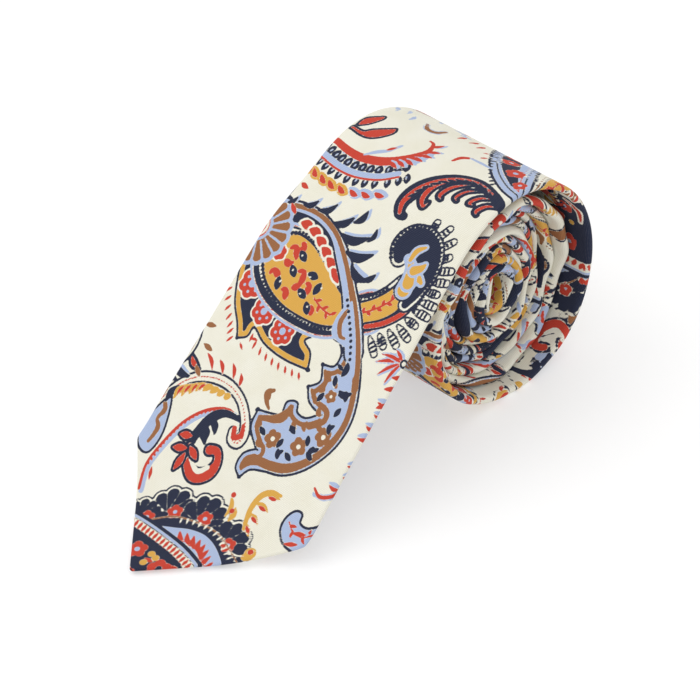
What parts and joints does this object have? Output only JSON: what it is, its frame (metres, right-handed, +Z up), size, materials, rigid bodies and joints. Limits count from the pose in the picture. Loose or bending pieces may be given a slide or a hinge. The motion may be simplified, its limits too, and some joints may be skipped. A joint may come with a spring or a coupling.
{
  "type": "necktie",
  "caption": "Rolled-up necktie: a tube of printed cotton wound from its narrow end, with the pointed wide end of the blade sloping down from the top of the roll to the table.",
  "frame": {"origin": "middle of the flat patch on which the roll rests", "axes": "+Z up, X along the axis of the roll, -Y towards the free pointed end of the blade"},
  "size_m": [0.075, 0.171, 0.073],
  "materials": {
    "printed_cotton": "matte woven cotton with a paisley print",
    "interlining": "brushed wool and viscose, matte",
    "tipping": "thin twill lining, soft sheen",
    "cream_thread": "sewing thread",
    "navy_thread": "sewing thread"
  },
  "bodies": {
    "roll": {"blade_shell_rolled": "printed_cotton", "neck_shell": "printed_cotton", "tail_shell": "printed_cotton", "neck_seam_thread": "cream_thread", "tail_seam_thread": "cream_thread", "blade_interlining_rolled": "interlining", "tail_interlining": "interlining", "tail_tipping": "tipping", "slip_stitch_rolled": "cream_thread", "tail_bar_tack": "navy_thread", "keeper_loop": "printed_cotton", "keeper_stitch_near": "navy_thread", "keeper_stitch_far": "navy_thread"},
    "blade_end": {"blade_shell_free_end": "printed_cotton", "blade_interlining_free_end": "interlining", "blade_tipping": "tipping", "slip_stitch_free_end": "cream_thread", "blade_bar_tack": "navy_thread"}
  },
  "joints": [
    {"name": "blade_lift", "type": "hinge", "parent": "roll", "child": "blade_end", "pos_m": [0, 0, 0.07299], "axis": [-1, 0, 0], "range_deg": [0, 40]}
  ]
}
